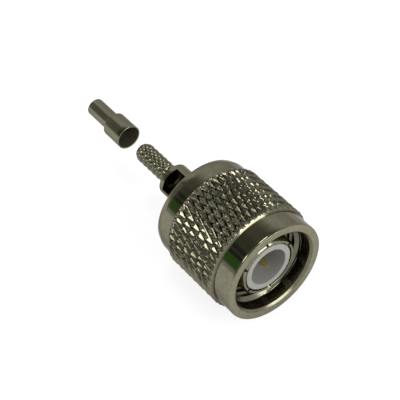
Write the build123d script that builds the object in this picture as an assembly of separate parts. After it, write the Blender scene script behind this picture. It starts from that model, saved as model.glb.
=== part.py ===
from build123d import *
import math
import os

# A threaded coaxial crimp plug, in millimetres. The origin is the centre of the coupling nut's
# front face, on the plug's axis. The mouth faces -Y, the cable end +Y, and +Z is up. An outline
# is a list of (radius, depth) corners, where depth is the distance behind the nut's front face.

# Coupling thread, 7/16-28
THREAD_DIAMETER = 11.1125
THREAD_PITCH = 25.4 / 28
THREAD_DEPTH_SHARE = 0.5413

# Coupling nut
NUT_LENGTH = 14.3
NUT_WALL = 1.364
BAND_EDGE = 0.2
BAND_EDGE_DROP = 0.06
FRONT_BAND_LENGTH = 2.72
REAR_BAND_LENGTH = 2.6
REAR_TAPER_LENGTH = 0.8
REAR_TAPER_DROP = 0.26
LEAD_IN_CLEARANCE = 0.044
LEAD_IN_DEPTH = 1.82
LEAD_IN_EDGE = 0.3
LIP_THICKNESS = 2.55
LIP_EDGE = 0.25
LIP_CLEARANCE = 0.07

# Diamond knurl of the nut
KNURL_RISE = 0.42
KNURL_GROOVE_DEPTH = 0.29
KNURL_DIAMOND_COUNT = 52
KNURL_ROWS = 6
KNURL_FOOT = 0.02

# Split snap ring that holds the nut on the body
RING_THICKNESS = 0.95
RING_WIDTH = 0.95
RING_SEAT_DEPTH = 0.4
RING_SPLIT = 2.2
RING_RIM_CLEARANCE = 0.1
RING_SIDE_CLEARANCE = 0.05
NUT_FLOAT = 0.3

# Connector body: head inside the nut, windowed barrel and crimp stem in one turning
HEAD_CLEARANCE = 0.215
HEAD_LAND = 0.8
HEAD_STANDOUT = 0.7
HEAD_FLOOR = 1.6
HEAD_EDGE = 0.3
BARREL_RADIUS = 2.24
BARREL_LENGTH = 5.2
BARREL_WALL = 0.39
BARREL_END_WALL = 0.25
BARREL_EDGE = 0.08
BARREL_ROOT_BEVEL = 0.25
WINDOW_LENGTH = 3.55
WINDOW_WIDTH = 3.25
WINDOW_MARGIN = 0.75
WINDOW_ANGLE = 45.0
CABLE_BORE_RADIUS = 0.85
CABLE_COUNTERSINK = 0.3
STEM_WALL = 0.39
STEM_LENGTH = 6.7
STEM_ROOT_LENGTH = 1.03
STEM_NOSE_LENGTH = 0.45
STEM_NOSE_DROP = 0.16

# Finer diamond knurl of the stem
STEM_KNURL_RISE = 0.09
STEM_KNURL_GROOVE_DEPTH = 0.08
STEM_KNURL_DIAMOND_COUNT = 16
STEM_KNURL_ROWS = 11

# Slotted outer contact
FINGER_TIP = 1.09
FINGER_WALL = 0.69
FINGER_TIP_BEVEL = 0.32
FINGER_TIP_BEVEL_LENGTH = 0.42
FINGER_COUNT = 6
FINGER_SLOT_WIDTH = 0.38
FINGER_SLOT_MARGIN = 0.6
FINGER_SLOT_ANGLE = 5.0
FINGER_ROOT_LENGTH = 2.1
FINGER_ROOT_STEP = 0.18
SHANK_STEP = 0.17
SHANK_LENGTH = 2.8

# Gasket on the head's front face
GASKET_THICKNESS = 1.5
GASKET_WIDTH = 0.88
GASKET_MARGIN = 0.05

# PTFE insulators
INSULATOR_SETBACK = 0.045
INSULATOR_WALL = 0.75
INSULATOR_FLOOR = 2.0
INSULATOR_JOINT_SETBACK = 0.7
INSULATOR_CLEARANCE = 0.05

# Gold centre contact
PIN_RADIUS = 0.675
PIN_SETBACK = 0.145
PIN_TIP_RADIUS = 0.08
PIN_CONE_LENGTH = 1.9
PIN_SHANK_STEP = 0.225
PIN_SHANK_STANDOFF = 0.2
PIN_COLLAR_STEP = 0.4
PIN_COLLAR_LENGTH = 0.95
POT_WALL = 0.35
POT_STANDOUT = 1.9
POT_BORE_RADIUS = 0.45
POT_BORE_DEPTH = 2.6
POT_SCOOP_LENGTH = 1.3

# Press fits and contact seats
PRESS_CLEARANCE = 0.02

# Stepped crimp sleeve, lying in line behind the stem
SLEEVE_GAP = 3.2
SLEEVE_WALL = 0.15
SLEEVE_BRAID_ROOM = 0.24
SLEEVE_WIDE_LENGTH = 3.5
SLEEVE_NARROW_BORE_RADIUS = 1.085
SLEEVE_NARROW_LENGTH = 4.35
SLEEVE_SHOULDER_EDGE = 0.15


# Radii that several pieces share, from the thread inward
BAND_RADIUS = THREAD_DIAMETER / 2 + NUT_WALL
LEAD_IN_RADIUS = THREAD_DIAMETER / 2 + LEAD_IN_CLEARANCE
THREAD_CREST_RADIUS = THREAD_DIAMETER / 2 - THREAD_DEPTH_SHARE * THREAD_PITCH
HEAD_RADIUS = THREAD_CREST_RADIUS - HEAD_CLEARANCE
LIP_RADIUS = HEAD_RADIUS + LIP_CLEARANCE
RING_INNER_RADIUS = HEAD_RADIUS - RING_SEAT_DEPTH
RING_OUTER_RADIUS = RING_INNER_RADIUS + RING_WIDTH
NUT_GROOVE_RADIUS = RING_OUTER_RADIUS + RING_RIM_CLEARANCE
HEAD_GROOVE_RADIUS = RING_INNER_RADIUS - RING_RIM_CLEARANCE
GASKET_OUTER_RADIUS = HEAD_RADIUS - GASKET_MARGIN
GASKET_INNER_RADIUS = GASKET_OUTER_RADIUS - GASKET_WIDTH
FINGER_ROOT_RADIUS = GASKET_INNER_RADIUS - GASKET_MARGIN
FINGER_RADIUS = FINGER_ROOT_RADIUS + FINGER_ROOT_STEP
FINGER_INNER_RADIUS = FINGER_RADIUS - FINGER_WALL
SHANK_RADIUS = FINGER_ROOT_RADIUS - SHANK_STEP
HEAD_BORE_RADIUS = SHANK_RADIUS + PRESS_CLEARANCE
INSULATOR_RADIUS = FINGER_INNER_RADIUS - INSULATOR_CLEARANCE
INSULATOR_BORE_RADIUS = INSULATOR_RADIUS - INSULATOR_WALL
PIN_SHANK_RADIUS = PIN_RADIUS + PIN_SHANK_STEP
PIN_COLLAR_RADIUS = PIN_SHANK_RADIUS + PIN_COLLAR_STEP
POT_RADIUS = POT_BORE_RADIUS + POT_WALL
POCKET_RADIUS = PIN_COLLAR_RADIUS + INSULATOR_CLEARANCE
BARREL_BORE_RADIUS = BARREL_RADIUS - BARREL_WALL
STEM_ROOT_RADIUS = CABLE_BORE_RADIUS + STEM_WALL
STEM_RADIUS = STEM_ROOT_RADIUS + STEM_KNURL_RISE

# Depths that several pieces share, from the nut's rear lip
LIP_FRONT = NUT_LENGTH - LIP_THICKNESS
RING_REAR = LIP_FRONT - RING_SIDE_CLEARANCE
RING_FRONT = RING_REAR - RING_THICKNESS
NUT_GROOVE_FRONT = RING_FRONT - RING_SIDE_CLEARANCE
HEAD_GROOVE_FRONT = RING_FRONT - NUT_FLOAT - RING_SIDE_CLEARANCE
HEAD_GROOVE_REAR = RING_REAR + NUT_FLOAT + RING_SIDE_CLEARANCE
HEAD_FRONT = HEAD_GROOVE_FRONT - HEAD_LAND
HEAD_REAR = NUT_LENGTH + HEAD_STANDOUT
SHANK_REAR = HEAD_FRONT + SHANK_LENGTH
FINGER_ROOT_START = HEAD_FRONT - FINGER_ROOT_LENGTH
INSULATOR_FRONT = FINGER_TIP + INSULATOR_SETBACK
INSULATOR_JOINT = HEAD_FRONT - INSULATOR_JOINT_SETBACK
INSULATOR_BORE_END = INSULATOR_JOINT - INSULATOR_FLOOR
INSULATOR_REAR = HEAD_REAR - HEAD_FLOOR
COLLAR_FRONT = INSULATOR_JOINT - PIN_COLLAR_LENGTH / 2
COLLAR_REAR = INSULATOR_JOINT + PIN_COLLAR_LENGTH / 2
BARREL_REAR = HEAD_REAR + BARREL_LENGTH
STEM_REAR = BARREL_REAR + STEM_LENGTH


def turned(outline):
    """Solid of revolution about the plug's axis, from (radius, depth) corners."""
    profile = make_face(Polyline(*outline, close=True))
    return revolve(profile, axis=Axis.Y)


def outward_block(width, front, rear, reach, angle):
    """Block from the axis outward, turned about it by an angle from +Z towards -X."""
    block = Box(width, rear - front, reach, align=(Align.CENTER, Align.MIN, Align.MIN))
    return Rot(0, -angle, 0) * Pos(0, front, 0) * block


def knurled_bar(core_radius, rise, groove_depth, diamonds, rows, front, rear):
    """Bar with rows of four-sided pyramids, whose grooves run out on a bevel at each end.

    The bar stands above a core of the given radius. Two crossing sets of helical grooves meet at
    every second point of a lattice, and the pyramids' tips are the points between. Each cell of
    the lattice is folded along its groove.
    """
    columns = 2 * diamonds
    bevel = rise - KNURL_FOOT
    pitch = (rear - front - 2 * bevel) / rows

    def point(column, drop, depth):
        turn = 2 * math.pi * column / columns
        radius = core_radius + rise - drop
        return Vector(radius * math.sin(turn), depth, radius * math.cos(turn))

    def foot(depth):
        return [point(column, bevel, depth) for column in range(columns)]

    def row_of_tips(row):
        drops = [groove_depth * ((row + column) % 2) for column in range(columns)]
        run_out = (row == rows) - (row == 0)
        depth = front + bevel + row * pitch
        return [point(column, drop, depth + run_out * drop) for column, drop in enumerate(drops)]

    rings = [foot(front), *[row_of_tips(row) for row in range(rows + 1)], foot(rear)]
    faces = [Face(Wire.make_polygon(end)) for end in (rings[0], rings[-1])]
    for row, (near, far) in enumerate(zip(rings, rings[1:])):
        for column in range(columns):
            corners = [near[column - 1], near[column], far[column], far[column - 1]]
            turn = (row + column) % 2
            first, second, third, fourth = corners[turn:] + corners[:turn]
            faces.append(Face(Wire.make_polygon([first, second, fourth])))
            faces.append(Face(Wire.make_polygon([third, fourth, second])))
    return Solid(Shell(faces))


def make_coupling_nut():
    """Threaded nut with a knurled grip between plain bands and an inner lip at the rear."""
    outside = [
        (0, 0),
        (BAND_RADIUS - BAND_EDGE_DROP, 0),
        (BAND_RADIUS, BAND_EDGE),
        (BAND_RADIUS, NUT_LENGTH - REAR_TAPER_LENGTH),
        (BAND_RADIUS - REAR_TAPER_DROP, NUT_LENGTH),
        (0, NUT_LENGTH),
    ]
    inside = [
        (0, 0),
        (LEAD_IN_RADIUS + LEAD_IN_EDGE, 0),
        (LEAD_IN_RADIUS, LEAD_IN_EDGE),
        (LEAD_IN_RADIUS, LEAD_IN_DEPTH),
        (THREAD_CREST_RADIUS, LEAD_IN_DEPTH + LEAD_IN_RADIUS - THREAD_CREST_RADIUS),
        (THREAD_CREST_RADIUS, NUT_GROOVE_FRONT),
        (NUT_GROOVE_RADIUS, NUT_GROOVE_FRONT),
        (NUT_GROOVE_RADIUS, LIP_FRONT),
        (LIP_RADIUS, LIP_FRONT),
        (LIP_RADIUS, NUT_LENGTH - LIP_EDGE),
        (LIP_RADIUS + LIP_EDGE, NUT_LENGTH),
        (0, NUT_LENGTH),
    ]
    knurl_rear = NUT_LENGTH - REAR_BAND_LENGTH
    knurl = knurled_bar(
        BAND_RADIUS,
        KNURL_RISE,
        KNURL_GROOVE_DEPTH,
        KNURL_DIAMOND_COUNT,
        KNURL_ROWS,
        FRONT_BAND_LENGTH,
        knurl_rear,
    )
    return turned(outside) + knurl - turned(inside)


def make_retaining_ring():
    """Flat snap ring, split at the top so that it can be squeezed through the thread."""
    ring = turned(
        [
            (RING_INNER_RADIUS, RING_FRONT),
            (RING_OUTER_RADIUS, RING_FRONT),
            (RING_OUTER_RADIUS, RING_REAR),
            (RING_INNER_RADIUS, RING_REAR),
        ]
    )
    return ring - outward_block(RING_SPLIT, RING_FRONT, RING_REAR, 2 * RING_OUTER_RADIUS, 0)


def make_connector_body():
    """Head, windowed barrel and knurled stem, bored through for the contact and the cable."""
    barrel_bore_end = BARREL_REAR - BARREL_END_WALL
    knurl_front = BARREL_REAR + STEM_ROOT_LENGTH
    knurl_rear = STEM_REAR - STEM_NOSE_LENGTH
    window_rear = BARREL_REAR - WINDOW_MARGIN
    outside = [
        (0, HEAD_FRONT),
        (HEAD_RADIUS, HEAD_FRONT),
        (HEAD_RADIUS, HEAD_GROOVE_FRONT),
        (HEAD_GROOVE_RADIUS, HEAD_GROOVE_FRONT),
        (HEAD_GROOVE_RADIUS, HEAD_GROOVE_REAR),
        (HEAD_RADIUS, HEAD_GROOVE_REAR),
        (HEAD_RADIUS, HEAD_REAR - HEAD_EDGE),
        (HEAD_RADIUS - HEAD_EDGE, HEAD_REAR),
        (BARREL_RADIUS + BARREL_ROOT_BEVEL, HEAD_REAR),
        (BARREL_RADIUS, HEAD_REAR + BARREL_ROOT_BEVEL),
        (BARREL_RADIUS, BARREL_REAR - BARREL_EDGE),
        (BARREL_RADIUS - BARREL_EDGE, BARREL_REAR),
        (STEM_ROOT_RADIUS, BARREL_REAR),
        (STEM_ROOT_RADIUS, knurl_rear),
        (STEM_ROOT_RADIUS - STEM_NOSE_DROP, STEM_REAR),
        (0, STEM_REAR),
    ]
    inside = [
        (0, HEAD_FRONT),
        (HEAD_BORE_RADIUS, HEAD_FRONT),
        (HEAD_BORE_RADIUS, SHANK_REAR),
        (FINGER_INNER_RADIUS, SHANK_REAR),
        (FINGER_INNER_RADIUS, INSULATOR_REAR),
        (BARREL_BORE_RADIUS, INSULATOR_REAR),
        (BARREL_BORE_RADIUS, barrel_bore_end),
        (CABLE_BORE_RADIUS + CABLE_COUNTERSINK, barrel_bore_end),
        (CABLE_BORE_RADIUS, barrel_bore_end + CABLE_COUNTERSINK),
        (CABLE_BORE_RADIUS, STEM_REAR),
        (0, STEM_REAR),
    ]
    knurl = knurled_bar(
        STEM_ROOT_RADIUS,
        STEM_KNURL_RISE,
        STEM_KNURL_GROOVE_DEPTH,
        STEM_KNURL_DIAMOND_COUNT,
        STEM_KNURL_ROWS,
        knurl_front,
        knurl_rear,
    )
    window = outward_block(
        WINDOW_WIDTH, window_rear - WINDOW_LENGTH, window_rear, 2 * BARREL_RADIUS, WINDOW_ANGLE
    )
    return turned(outside) + knurl - turned(inside) - window


def make_spring_finger_contact():
    """Slotted sleeve whose shoulder seats on the head and whose shank is pressed into it."""
    sleeve = turned(
        [
            (FINGER_INNER_RADIUS, FINGER_TIP),
            (FINGER_RADIUS - FINGER_TIP_BEVEL, FINGER_TIP),
            (FINGER_RADIUS, FINGER_TIP + FINGER_TIP_BEVEL_LENGTH),
            (FINGER_RADIUS, FINGER_ROOT_START),
            (FINGER_ROOT_RADIUS, FINGER_ROOT_START),
            (FINGER_ROOT_RADIUS, HEAD_FRONT),
            (SHANK_RADIUS, HEAD_FRONT),
            (SHANK_RADIUS, SHANK_REAR),
            (FINGER_INNER_RADIUS, SHANK_REAR),
        ]
    )
    slot_end = FINGER_ROOT_START - FINGER_SLOT_MARGIN
    for number in range(FINGER_COUNT):
        angle = FINGER_SLOT_ANGLE + number * 360 / FINGER_COUNT
        sleeve -= outward_block(FINGER_SLOT_WIDTH, FINGER_TIP, slot_end, 2 * FINGER_RADIUS, angle)
    return sleeve


def make_gasket():
    """Flat silicone ring around the outer contact, seated on the head."""
    front = HEAD_FRONT - GASKET_THICKNESS
    return turned(
        [
            (GASKET_INNER_RADIUS, front),
            (GASKET_OUTER_RADIUS, front),
            (GASKET_OUTER_RADIUS, HEAD_FRONT),
            (GASKET_INNER_RADIUS, HEAD_FRONT),
        ]
    )


def make_front_insulator():
    """PTFE cup around the pin, with half of the pocket for the pin's collar behind it."""
    hole = PIN_SHANK_RADIUS + PRESS_CLEARANCE
    return turned(
        [
            (INSULATOR_BORE_RADIUS, INSULATOR_FRONT),
            (INSULATOR_RADIUS, INSULATOR_FRONT),
            (INSULATOR_RADIUS, INSULATOR_JOINT),
            (POCKET_RADIUS, INSULATOR_JOINT),
            (POCKET_RADIUS, COLLAR_FRONT),
            (hole, COLLAR_FRONT),
            (hole, INSULATOR_BORE_END),
            (INSULATOR_BORE_RADIUS, INSULATOR_BORE_END),
        ]
    )


def make_rear_insulator():
    """PTFE bush between the front insulator and the floor of the head."""
    hole = POT_RADIUS + PRESS_CLEARANCE
    return turned(
        [
            (POCKET_RADIUS, INSULATOR_JOINT),
            (INSULATOR_RADIUS, INSULATOR_JOINT),
            (INSULATOR_RADIUS, INSULATOR_REAR),
            (hole, INSULATOR_REAR),
            (hole, COLLAR_REAR),
            (POCKET_RADIUS, COLLAR_REAR),
        ]
    )


def make_centre_contact():
    """Pin with a conical tip, a collar that the insulators trap, and a pot open to the window."""
    tip = INSULATOR_FRONT + PIN_SETBACK
    shank_front = INSULATOR_BORE_END - PIN_SHANK_STANDOFF
    pot_rear = HEAD_REAR + POT_STANDOUT
    pot_floor = pot_rear - POT_BORE_DEPTH
    contact = turned(
        [
            (0, tip),
            (PIN_TIP_RADIUS, tip),
            (PIN_RADIUS, tip + PIN_CONE_LENGTH),
            (PIN_RADIUS, shank_front),
            (PIN_SHANK_RADIUS, shank_front),
            (PIN_SHANK_RADIUS, COLLAR_FRONT),
            (PIN_COLLAR_RADIUS, COLLAR_FRONT),
            (PIN_COLLAR_RADIUS, COLLAR_REAR),
            (POT_RADIUS, COLLAR_REAR),
            (POT_RADIUS, pot_rear),
            (POT_BORE_RADIUS, pot_rear),
            (POT_BORE_RADIUS, pot_floor),
            (0, pot_floor),
        ]
    )
    scoop_front = pot_rear - POT_SCOOP_LENGTH
    return contact - outward_block(2 * POT_RADIUS, scoop_front, pot_rear, 2 * POT_RADIUS, WINDOW_ANGLE)


def make_crimp_sleeve():
    """Thin stepped tube: the wide end goes over the stem, the narrow end over the cable."""
    wide_bore = STEM_RADIUS + SLEEVE_BRAID_ROOM
    wide_radius = wide_bore + SLEEVE_WALL
    narrow_radius = SLEEVE_NARROW_BORE_RADIUS + SLEEVE_WALL
    mouth = STEM_REAR + SLEEVE_GAP
    shoulder = mouth + SLEEVE_WIDE_LENGTH
    rear = shoulder + SLEEVE_NARROW_LENGTH
    return turned(
        [
            (wide_bore, mouth),
            (wide_radius, mouth),
            (wide_radius, shoulder - SLEEVE_SHOULDER_EDGE),
            (wide_radius - SLEEVE_SHOULDER_EDGE, shoulder),
            (narrow_radius, shoulder),
            (narrow_radius, rear),
            (SLEEVE_NARROW_BORE_RADIUS, rear),
            (SLEEVE_NARROW_BORE_RADIUS, shoulder - SLEEVE_WALL),
            (wide_bore, shoulder - SLEEVE_WALL),
        ]
    )


PIECES = {
    "coupling_nut": make_coupling_nut,
    "retaining_ring": make_retaining_ring,
    "connector_body": make_connector_body,
    "spring_finger_contact": make_spring_finger_contact,
    "gasket": make_gasket,
    "front_insulator": make_front_insulator,
    "rear_insulator": make_rear_insulator,
    "centre_contact": make_centre_contact,
    "crimp_sleeve": make_crimp_sleeve,
}

os.makedirs("parts", exist_ok=True)
for name, make in PIECES.items():
    piece = make()
    piece.label = name
    export_step(piece, f"parts/{name}.step")
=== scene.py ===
"""Looks of a threaded coaxial crimp plug: its coupling nut, body, contacts, insulators and crimp sleeve.

Sizes are in millimetres and become metres when a mesh is made. The plug's axis is Y: the nut's front
face is at depth 0, and depth grows towards the cable. A turn is an angle from +Z towards -X.
"""
import logging
import math
from dataclasses import dataclass, field
from enum import Enum

import bmesh
import bpy
import numpy as np
from mathutils import Matrix, Vector


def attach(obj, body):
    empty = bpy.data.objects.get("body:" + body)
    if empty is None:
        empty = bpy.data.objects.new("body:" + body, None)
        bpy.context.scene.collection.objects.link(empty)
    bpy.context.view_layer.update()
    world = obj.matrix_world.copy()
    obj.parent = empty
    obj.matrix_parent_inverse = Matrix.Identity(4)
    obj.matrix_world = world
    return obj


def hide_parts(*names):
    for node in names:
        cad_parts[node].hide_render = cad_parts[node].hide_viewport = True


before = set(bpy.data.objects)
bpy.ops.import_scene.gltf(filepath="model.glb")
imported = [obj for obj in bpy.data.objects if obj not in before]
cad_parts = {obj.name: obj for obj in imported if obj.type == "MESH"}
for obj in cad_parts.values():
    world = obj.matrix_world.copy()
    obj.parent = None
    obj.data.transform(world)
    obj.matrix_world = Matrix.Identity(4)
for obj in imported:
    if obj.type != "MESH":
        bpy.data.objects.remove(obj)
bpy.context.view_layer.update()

MM = 0.001
TAU = 2 * math.pi
MERGE_DISTANCE = 1e-7
SHARP_ANGLE = math.radians(32)
SEED = 11
# The longest share of a short side that a rounded corner may take up.
CORNER_SHARE = 0.45

Piece = bpy.types.Object
Tree = bpy.types.NodeTree
Socket = bpy.types.NodeSocket
log = logging.getLogger("plug")


# Shapes


def around(radius: np.ndarray, depth: np.ndarray, turn: np.ndarray) -> np.ndarray:
    """Points on rings about the axis: x = -radius sin(turn), y = depth, z = radius cos(turn).

    Args:
        radius: distance from the axis.
        depth: distance behind the nut's front face.
        turn: angle from +Z towards -X. The three broadcast.

    Returns:
        Their points, with x, y and z last.
    """
    radius, depth, turn = np.broadcast_arrays(radius, depth, turn)
    return np.stack([-radius * np.sin(turn), depth, radius * np.cos(turn)], axis=-1)


def turns(columns: int) -> np.ndarray:
    """Angles of columns spread evenly round the axis."""
    return np.arange(columns) * TAU / columns


def lathed(outline: np.ndarray, turn: np.ndarray) -> np.ndarray:
    """Points of an outline, whose rows are (radius, depth), carried round the axis to each turn."""
    return around(outline[:, :1], outline[:, 1:], turn)


def softened(cuts: float | list[float], *corners: tuple[float, float], steps: int = 4) -> np.ndarray:
    """Outline whose inner corners are rounded by quadratic curves.

    A corner P becomes (1-t)^2 A + 2t(1-t) P + t^2 B, where A and B lie a cut before and behind it.

    Args:
        cuts: setback of each inner corner, or of all.
        corners: the (radius, depth) of each.
        steps: points on each curve.

    Returns:
        The rounded outline, one row for each point.
    """
    points = np.array(corners, float)
    middle = points[1:-1]
    back = points[:-2] - middle
    ahead = points[2:] - middle
    back_length = np.linalg.norm(back, axis=1)
    ahead_length = np.linalg.norm(ahead, axis=1)
    cut = np.minimum(cuts, CORNER_SHARE * np.minimum(back_length, ahead_length))
    start = middle + back * (cut / back_length)[:, None]
    end = middle + ahead * (cut / ahead_length)[:, None]
    t = np.linspace(0, 1, steps)[None, :, None]
    curves = (1 - t) ** 2 * start[:, None] + 2 * t * (1 - t) * middle[:, None] + t**2 * end[:, None]
    return np.concatenate([points[:1], curves.reshape(-1, 2), points[-1:]])


def filled(outline: np.ndarray | list[tuple[float, float]], count: int) -> np.ndarray:
    """Outline with more points, spread evenly on its longest runs, until it has count of them.

    Args:
        outline: (radius, depth) points.
        count: number of points wanted, at least as many as the outline has.

    Returns:
        The outline with exactly count points.
    """
    outline = np.asarray(outline, float)
    lengths = np.linalg.norm(np.diff(outline, axis=0), axis=1)
    spare = count - len(outline)
    share = lengths / lengths.sum() * spare
    extra = np.floor(share).astype(int)
    largest = np.argsort(extra - share)[: spare - extra.sum()]
    extra[largest] += 1
    run = np.repeat(np.arange(len(extra)), extra + 1)
    step = np.arange(len(run)) - np.repeat(np.cumsum(extra + 1) - (extra + 1), extra + 1)
    along = (step / (extra[run] + 1))[:, None]
    return np.concatenate([outline[run] * (1 - along) + outline[run + 1] * along, outline[-1:]])


def sheet(numbers: np.ndarray) -> np.ndarray:
    """Quads between the points of a grid that doesn't close, four point numbers for each."""
    low, high = numbers[:-1], numbers[1:]
    return np.stack([low[:, :-1], low[:, 1:], high[:, 1:], high[:, :-1]], axis=-1).reshape(-1, 4)


def placed(name: str, data: bpy.types.ID) -> Piece:
    """Puts a new object at the scene's origin.

    Args:
        name: the object's name.
        data: its mesh, lamp or camera.

    Returns:
        The object.
    """
    thing = bpy.data.objects.new(name, data)
    bpy.context.scene.collection.objects.link(thing)
    return thing


@dataclass
class Skin:
    """One mesh in the making: grids of points and the faces between them."""

    points: list[np.ndarray] = field(default_factory=list)
    quads: list[np.ndarray] = field(default_factory=list)
    triangles: list[np.ndarray] = field(default_factory=list)
    count: int = 0

    def grid(self, points: np.ndarray) -> np.ndarray:
        """Adds a grid of points.

        Args:
            points: rows by columns by x, y, z.

        Returns:
            The points' numbers, rows by columns.
        """
        numbers = self.count + np.arange(points.shape[0] * points.shape[1]).reshape(points.shape[:2])
        self.points.append(points.reshape(-1, 3))
        self.count += numbers.size
        return numbers

    def cells(self, numbers: np.ndarray, kept: np.ndarray | None = None) -> None:
        """Covers a grid that closes round its columns with quads.

        Args:
            numbers: the grid's point numbers.
            kept: which cells are covered, or all.
        """
        low, high = numbers[:-1], numbers[1:]
        faces = np.stack([low, np.roll(low, -1, 1), np.roll(high, -1, 1), high], axis=-1)
        self.quads.append(faces.reshape(-1, 4) if kept is None else faces[kept])

    def folded(self, numbers: np.ndarray, rising: np.ndarray) -> None:
        """Covers a grid with two triangles a cell, folded along the diagonal that its crease runs on.

        Args:
            numbers: the grid's point numbers.
            rising: cells folded from their first corner to the far one; the others fold across.
        """
        low, high = numbers[:-1], numbers[1:]
        low_next, high_next = np.roll(low, -1, 1), np.roll(high, -1, 1)
        for chosen, one, two in (
            (rising, (low, low_next, high_next), (low, high_next, high)),
            (~rising, (low, low_next, high), (low_next, high_next, high)),
        ):
            self.triangles.append(np.stack(one, axis=-1)[chosen])
            self.triangles.append(np.stack(two, axis=-1)[chosen])

    def bridge(self, near: np.ndarray, far: np.ndarray, kept: np.ndarray | None = None) -> None:
        """Joins two rings of the same count with quads, in all cells or in those kept."""
        self.cells(np.stack([near, far]), None if kept is None else kept[None])

    def stitch(self, fine: np.ndarray, coarse: np.ndarray) -> None:
        """Joins a ring to one with fewer points by a fan at each coarse point.

        Args:
            fine: point numbers of the ring with more points, a whole multiple of the other.
            coarse: point numbers of the ring with fewer.
        """
        ratio = len(fine) // len(coarse)
        start = np.arange(len(coarse))[:, None] * ratio
        step = np.arange(ratio)[None, :]
        first = fine[(start + step) % len(fine)]
        second = fine[(start + step + 1) % len(fine)]
        hub = np.broadcast_to(coarse[:, None], first.shape)
        self.triangles.append(np.stack([hub, first, second], axis=-1).reshape(-1, 3))
        self.triangles.append(np.stack([coarse, second[:, -1], np.roll(coarse, -1)], axis=-1))

    def tube(self, outer: np.ndarray, inner: np.ndarray, opening: np.ndarray | None = None) -> "Skin":
        """Adds a closed wall between two skins with the same rows and columns.

        Args:
            outer: the outer skin's grid of points.
            inner: the inner skin's.
            opening: cells that are cut through the wall, which gets faces all round the cut.

        Returns:
            This skin.
        """
        out, inn = self.grid(outer), self.grid(inner)
        shape = (out.shape[0] - 1, out.shape[1])
        solid = np.ones(shape, bool) if opening is None else ~opening
        self.cells(out, solid)
        self.cells(inn, solid)
        self.bridge(out[0], inn[0], solid[0])
        self.bridge(out[-1], inn[-1], solid[-1])
        row, column = np.nonzero(solid != np.roll(solid, 1, axis=1))
        sides = [out[row, column], out[row + 1, column], inn[row + 1, column], inn[row, column]]
        self.quads.append(np.stack(sides, axis=-1))
        row, column = np.nonzero(solid[1:] != solid[:-1])
        after = (column + 1) % shape[1]
        ends = [out[row + 1, column], out[row + 1, after], inn[row + 1, after], inn[row + 1, column]]
        self.quads.append(np.stack(ends, axis=-1))
        return self

    def made(self, name: str) -> Piece:
        """Puts the points and faces into a mesh whose doubles are merged and faces point outward.

        Args:
            name: the piece's name.

        Returns:
            The new object, at the origin.
        """
        mesh = bpy.data.meshes.new(name)
        faces = [face for group in (*self.quads, *self.triangles) for face in group.tolist()]
        mesh.from_pydata((np.concatenate(self.points) * MM).tolist(), [], faces)
        work = bmesh.new()
        work.from_mesh(mesh)
        bmesh.ops.remove_doubles(work, verts=work.verts, dist=MERGE_DISTANCE)
        bmesh.ops.dissolve_degenerate(work, dist=MERGE_DISTANCE, edges=work.edges)
        bmesh.ops.recalc_face_normals(work, faces=work.faces)
        work.to_mesh(mesh)
        work.free()
        mesh.set_sharp_from_angle(angle=SHARP_ANGLE)
        edge_of_corner = np.zeros(len(mesh.loops), np.int32)
        mesh.loops.foreach_get("edge_index", edge_of_corner)
        open_edges = int((np.bincount(edge_of_corner, minlength=len(mesh.edges)) != 2).sum())
        piece = placed(name, mesh)
        mesh.calc_loop_triangles()
        log.info("%s: %d triangles, %d edges not closed", name, len(mesh.loop_triangles), open_edges)
        return piece


@dataclass(frozen=True)
class Cuts:
    """Straight cuts through a wall, spread evenly round the axis, whose sides fall on its columns.

    Columns is how many of them there are for each cut, and half is how many a cut takes up on
    either side of its middle.
    """

    count: int
    columns: int
    half: int
    width: float

    def spread(self, radius: float) -> np.ndarray:
        """Angles of the wall's columns.

        A cut's sides lie asin(width / 2 / radius) off its middle, and the columns between two sides
        are spread evenly.

        Args:
            radius: the radius at which the sides fall on columns.

        Returns:
            The angles from the first cut's middle.
        """
        side = math.asin(min(1.0, self.width / 2 / radius))
        step = TAU / self.count
        number, within = np.divmod(np.arange(self.count * self.columns), self.columns)
        knots = [0, self.half, self.columns - self.half, self.columns]
        return number * step + np.interp(within, knots, [0, side, step - side, step])

    def opening(self, rows: int, first: int, last: int) -> np.ndarray:
        """Cells of the wall that are cut away.

        Args:
            rows: the number of rows of points.
            first: the row at which the cuts begin.
            last: the row at which they end.

        Returns:
            True for each cell that is, rows by columns.
        """
        within = np.arange(self.count * self.columns) % self.columns
        cut = np.zeros((rows - 1, len(within)), bool)
        cut[first:last, (within < self.half) | (within >= self.columns - self.half)] = True
        return cut


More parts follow.
